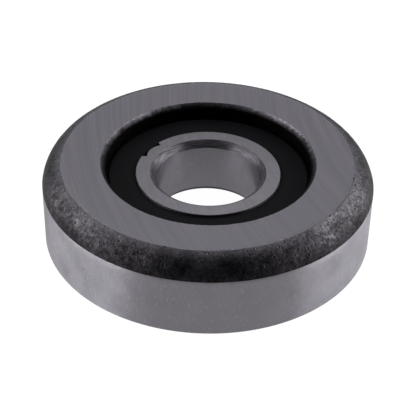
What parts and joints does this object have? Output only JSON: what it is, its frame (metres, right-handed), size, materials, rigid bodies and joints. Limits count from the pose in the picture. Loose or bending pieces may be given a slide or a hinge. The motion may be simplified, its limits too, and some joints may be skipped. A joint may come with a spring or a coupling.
{
  "type": "cam follower roller",
  "caption": "Sealed cam follower roller: a thick outer ring with one rounded corner turns on a full row of balls round a bored inner ring.",
  "frame": {"origin": "on the bore axis, midway through the outer ring's width", "axes": "+Z along the bore axis, towards the face with the rounded corner; the filling slot is at 148 degrees from +X towards +Y"},
  "size_m": [0.112, 0.112, 0.028],
  "materials": {
    "outer_ring_steel": "ground face and tread, with dark heat-treatment scale on the rounded corner",
    "inner_ring_steel": "ground",
    "ball_steel": "lapped",
    "seal_rubber": "moulded, satin",
    "insert_steel": "cold-rolled"
  },
  "bodies": {
    "inner_ring": {"inner_ring": "inner_ring_steel", "filling_slot_plug": "inner_ring_steel"},
    "outer_ring": {"outer_ring": "outer_ring_steel", "upper_seal": "seal_rubber", "upper_seal_insert": "insert_steel", "lower_seal": "seal_rubber", "lower_seal_insert": "insert_steel"},
    "ball_01": {"ball_01": "ball_steel"},
    "ball_02": {"ball_02": "ball_steel"},
    "ball_03": {"ball_03": "ball_steel"},
    "ball_04": {"ball_04": "ball_steel"},
    "ball_05": {"ball_05": "ball_steel"},
    "ball_06": {"ball_06": "ball_steel"},
    "ball_07": {"ball_07": "ball_steel"},
    "ball_08": {"ball_08": "ball_steel"},
    "ball_09": {"ball_09": "ball_steel"},
    "ball_10": {"ball_10": "ball_steel"},
    "ball_11": {"ball_11": "ball_steel"},
    "ball_12": {"ball_12": "ball_steel"},
    "ball_13": {"ball_13": "ball_steel"}
  },
  "joints": [
    {"name": "outer_ring_spin", "type": "hinge", "parent": "inner_ring", "child": "outer_ring", "pos_m": [0, 0, -0.0014], "axis": [0, 0, 1], "continuous": true},
    {"name": "ball_01_orbit", "type": "hinge", "parent": "inner_ring", "child": "ball_01", "pos_m": [0, 0, -0.0014], "axis": [0, 0, 1], "continuous": true},
    {"name": "ball_02_orbit", "type": "hinge", "parent": "inner_ring", "child": "ball_02", "pos_m": [0, 0, -0.0014], "axis": [0, 0, 1], "continuous": true},
    {"name": "ball_03_orbit", "type": "hinge", "parent": "inner_ring", "child": "ball_03", "pos_m": [0, 0, -0.0014], "axis": [0, 0, 1], "continuous": true},
    {"name": "ball_04_orbit", "type": "hinge", "parent": "inner_ring", "child": "ball_04", "pos_m": [0, 0, -0.0014], "axis": [0, 0, 1], "continuous": true},
    {"name": "ball_05_orbit", "type": "hinge", "parent": "inner_ring", "child": "ball_05", "pos_m": [0, 0, -0.0014], "axis": [0, 0, 1], "continuous": true},
    {"name": "ball_06_orbit", "type": "hinge", "parent": "inner_ring", "child": "ball_06", "pos_m": [0, 0, -0.0014], "axis": [0, 0, 1], "continuous": true},
    {"name": "ball_07_orbit", "type": "hinge", "parent": "inner_ring", "child": "ball_07", "pos_m": [0, 0, -0.0014], "axis": [0, 0, 1], "continuous": true},
    {"name": "ball_08_orbit", "type": "hinge", "parent": "inner_ring", "child": "ball_08", "pos_m": [0, 0, -0.0014], "axis": [0, 0, 1], "continuous": true},
    {"name": "ball_09_orbit", "type": "hinge", "parent": "inner_ring", "child": "ball_09", "pos_m": [0, 0, -0.0014], "axis": [0, 0, 1], "continuous": true},
    {"name": "ball_10_orbit", "type": "hinge", "parent": "inner_ring", "child": "ball_10", "pos_m": [0, 0, -0.0014], "axis": [0, 0, 1], "continuous": true},
    {"name": "ball_11_orbit", "type": "hinge", "parent": "inner_ring", "child": "ball_11", "pos_m": [0, 0, -0.0014], "axis": [0, 0, 1], "continuous": true},
    {"name": "ball_12_orbit", "type": "hinge", "parent": "inner_ring", "child": "ball_12", "pos_m": [0, 0, -0.0014], "axis": [0, 0, 1], "continuous": true},
    {"name": "ball_13_orbit", "type": "hinge", "parent": "inner_ring", "child": "ball_13", "pos_m": [0, 0, -0.0014], "axis": [0, 0, 1], "continuous": true}
  ],
  "couplings": [
    {"joint": "ball_01_orbit", "follows": "outer_ring_spin", "ratio": 0.61734},
    {"joint": "ball_02_orbit", "follows": "outer_ring_spin", "ratio": 0.61734},
    {"joint": "ball_03_orbit", "follows": "outer_ring_spin", "ratio": 0.61734},
    {"joint": "ball_04_orbit", "follows": "outer_ring_spin", "ratio": 0.61734},
    {"joint": "ball_05_orbit", "follows": "outer_ring_spin", "ratio": 0.61734},
    {"joint": "ball_06_orbit", "follows": "outer_ring_spin", "ratio": 0.61734},
    {"joint": "ball_07_orbit", "follows": "outer_ring_spin", "ratio": 0.61734},
    {"joint": "ball_08_orbit", "follows": "outer_ring_spin", "ratio": 0.61734},
    {"joint": "ball_09_orbit", "follows": "outer_ring_spin", "ratio": 0.61734},
    {"joint": "ball_10_orbit", "follows": "outer_ring_spin", "ratio": 0.61734},
    {"joint": "ball_11_orbit", "follows": "outer_ring_spin", "ratio": 0.61734},
    {"joint": "ball_12_orbit", "follows": "outer_ring_spin", "ratio": 0.61734},
    {"joint": "ball_13_orbit", "follows": "outer_ring_spin", "ratio": 0.61734}
  ]
}
